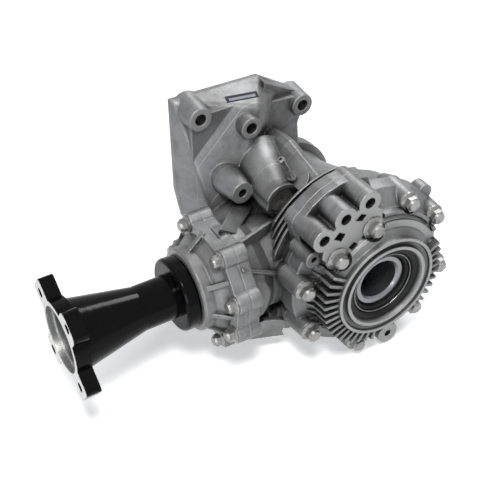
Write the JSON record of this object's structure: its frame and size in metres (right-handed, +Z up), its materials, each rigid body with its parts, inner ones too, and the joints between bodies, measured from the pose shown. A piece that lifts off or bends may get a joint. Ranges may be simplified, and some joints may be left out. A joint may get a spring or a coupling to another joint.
{
  "type": "transfer case",
  "caption": "Right-angle power transfer unit with a hollow cross shaft, bevel gears, ribbed aluminium case and a long output flange.",
  "frame": {"origin": "crossing point of the ring gear axis and the drive pinion axis", "axes": "+X along the ring gear shaft, outboard through the large oil seal; -Y along the drive pinion to the output flange; +Z up"},
  "size_m": [0.2076, 0.4036, 0.2526],
  "materials": {
    "cast_aluminium": "as cast, satin",
    "zinc_steel": "zinc plated, satin",
    "plug_steel": "dark plated",
    "soft_washer": "soft metal",
    "seal_rubber": "moulded, satin",
    "ground_steel": "ground",
    "cage_steel": "pressed",
    "gear_steel": "case hardened, oiled",
    "black_paint": "gloss black"
  },
  "bodies": {
    "housing": {"adapter_bolts": "zinc_steel", "adapter_case": "cast_aluminium", "adapter_o_ring": "seal_rubber", "breather_tube": "zinc_steel", "case_bearing_cup": "ground_steel", "cover_bearing_cup": "ground_steel", "cover_bolts": "zinc_steel", "cover_oil_seal": "seal_rubber", "drain_plug": "plug_steel", "drain_plug_gasket": "soft_washer", "filler_plug": "plug_steel", "input_oil_seal": "seal_rubber", "main_case": "cast_aluminium", "pinion_head_bearing_cup": "ground_steel", "pinion_oil_seal": "seal_rubber", "pinion_shim": "ground_steel", "pinion_tail_bearing_cup": "ground_steel", "plateau_bolts": "zinc_steel", "transfer_cover": "cast_aluminium"},
    "ring_gear_line": {"ring_gear": "gear_steel", "ring_gear_shaft": "ground_steel", "ring_gear_bolts": "gear_steel", "cover_bearing_cone": "ground_steel", "cover_bearing_rollers": "ground_steel", "cover_bearing_cage": "cage_steel", "case_bearing_cone": "ground_steel", "case_bearing_rollers": "ground_steel", "case_bearing_cage": "cage_steel"},
    "pinion_line": {"drive_pinion": "gear_steel", "collapsible_spacer": "gear_steel", "companion_flange": "black_paint", "dust_shield": "black_paint", "pinion_washer": "zinc_steel", "pinion_nut": "zinc_steel", "pinion_head_bearing_cone": "ground_steel", "pinion_head_bearing_rollers": "ground_steel", "pinion_head_bearing_cage": "cage_steel", "pinion_tail_bearing_cone": "ground_steel", "pinion_tail_bearing_rollers": "ground_steel", "pinion_tail_bearing_cage": "cage_steel"}
  },
  "joints": [
    {"name": "ring_gear_spin", "type": "hinge", "parent": "housing", "child": "ring_gear_line", "pos_m": [0, 0, 0], "axis": [1, 0, 0], "continuous": true},
    {"name": "pinion_spin", "type": "hinge", "parent": "housing", "child": "pinion_line", "pos_m": [0, 0, 0], "axis": [0, 1, 0], "continuous": true}
  ],
  "couplings": [
    {"joint": "pinion_spin", "follows": "ring_gear_spin", "ratio": 2.4706}
  ]
}
